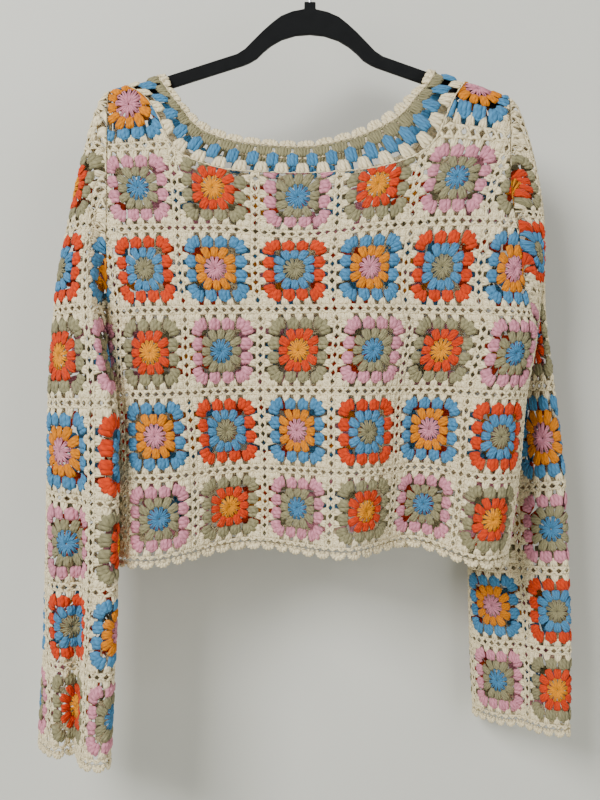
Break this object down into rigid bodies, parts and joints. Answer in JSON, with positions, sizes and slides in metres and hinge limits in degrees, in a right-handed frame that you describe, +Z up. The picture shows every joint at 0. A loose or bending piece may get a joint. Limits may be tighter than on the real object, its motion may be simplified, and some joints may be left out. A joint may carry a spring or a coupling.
{
  "type": "crocheted granny-square sweater on a hanger",
  "caption": "Cropped boat-neck sweater of crocheted granny squares in cream, sage, pink, blue, red-orange and mustard cotton, with long sleeves and shell edgings, hanging on a slim black velvet hanger.",
  "frame": {"origin": "inside the top of the hanger's hook, where the rail carries it", "axes": "+Z up, the sweater's front faces -Y, +X to the viewer's right"},
  "size_m": [0.6212, 0.1901, 0.9178],
  "materials": {
    "crochet": "matt cotton crochet",
    "band": "matt cotton crochet",
    "velvet": "black flocked velvet",
    "wire": "grey plated wire"
  },
  "bodies": {
    "root": {"front": "crochet", "back": "crochet", "sleeve_left": "crochet", "sleeve_right_upper": "crochet", "sleeve_right_lower": "crochet", "neck_band_front": "band", "neck_band_back": "band", "hem_edging": "crochet", "cuff_edging_left": "crochet", "cuff_edging_right": "crochet", "hanger_bar": "velvet", "hanger_hook": "wire"}
  },
  "joints": []
}
